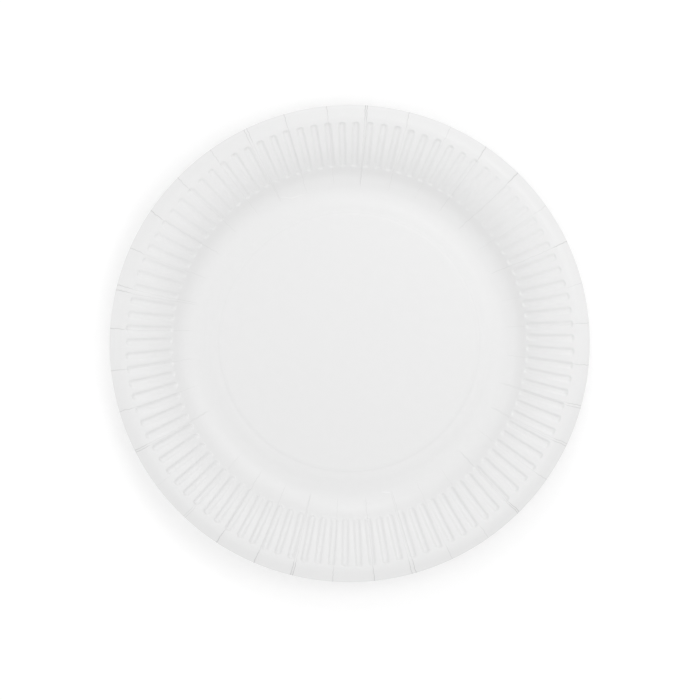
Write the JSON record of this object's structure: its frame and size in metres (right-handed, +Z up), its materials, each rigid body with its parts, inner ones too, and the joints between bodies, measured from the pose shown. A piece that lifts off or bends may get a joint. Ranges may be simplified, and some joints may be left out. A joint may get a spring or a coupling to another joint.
{
  "type": "paper plate",
  "caption": "Round pressed paperboard plate with a raised centre, a foot ring, a fluted wall and a pleated, turned-down rim.",
  "frame": {"origin": "under the centre of the plate, on the plane that its foot ring stands on", "axes": "+Z up along the plate's axis, through the eating side; +X towards the right of the picture, +Y towards its top"},
  "size_m": [0.23, 0.23, 0.0176],
  "materials": {
    "paperboard": "matte"
  },
  "bodies": {
    "root": {"plate": "paperboard"}
  },
  "joints": []
}
